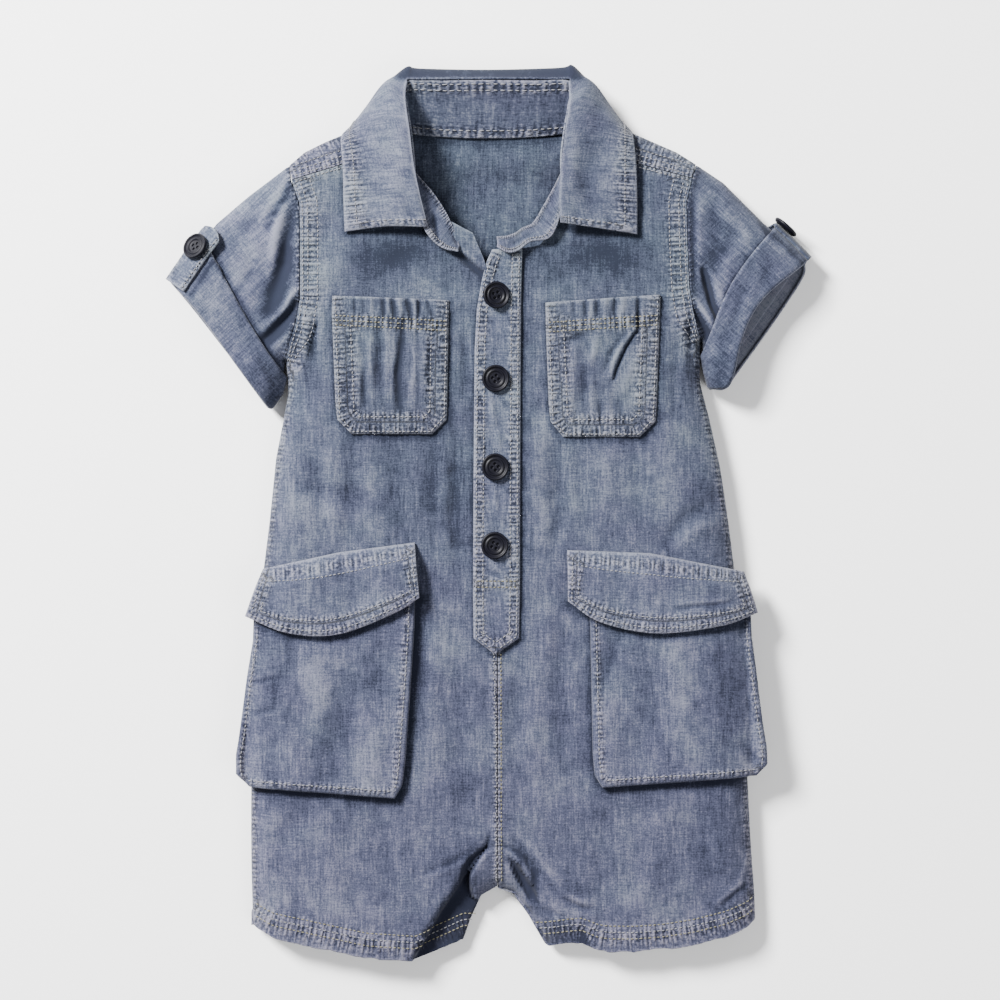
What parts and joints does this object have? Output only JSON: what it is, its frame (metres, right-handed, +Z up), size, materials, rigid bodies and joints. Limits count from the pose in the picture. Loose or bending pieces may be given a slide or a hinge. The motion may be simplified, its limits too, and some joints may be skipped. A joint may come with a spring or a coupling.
{
  "type": "baby romper",
  "caption": "Short-sleeved, short-legged shirt romper in chambray with collar, button placket, chest pockets, flapped cargo pockets and rolled cuffs, laid flat.",
  "frame": {"origin": "middle of the garment's bounding box in plan, on the surface that it lies on", "axes": "+Y from the legs to the collar, +X to the viewer's right as it lies face up, +Z up out of the front"},
  "size_m": [0.3563, 0.4928, 0.0292],
  "materials": {
    "chambray": "matte",
    "button": "satin"
  },
  "bodies": {
    "root": {"front_left": "chambray", "front_right": "chambray", "back_left": "chambray", "back_right": "chambray", "yoke": "chambray", "sleeve_left": "chambray", "sleeve_right": "chambray", "cuff_left": "chambray", "cuff_right": "chambray", "tab_left": "chambray", "tab_right": "chambray", "collar_stand": "chambray", "collar_fall": "chambray", "placket": "chambray", "chest_pocket_left": "chambray", "chest_pocket_right": "chambray", "cargo_pocket_left": "chambray", "cargo_pocket_right": "chambray", "cargo_flap_left": "chambray", "cargo_flap_right": "chambray", "button_1": "button", "button_2": "button", "button_3": "button", "button_4": "button", "tab_button_left": "button", "tab_button_right": "button"}
  },
  "joints": []
}
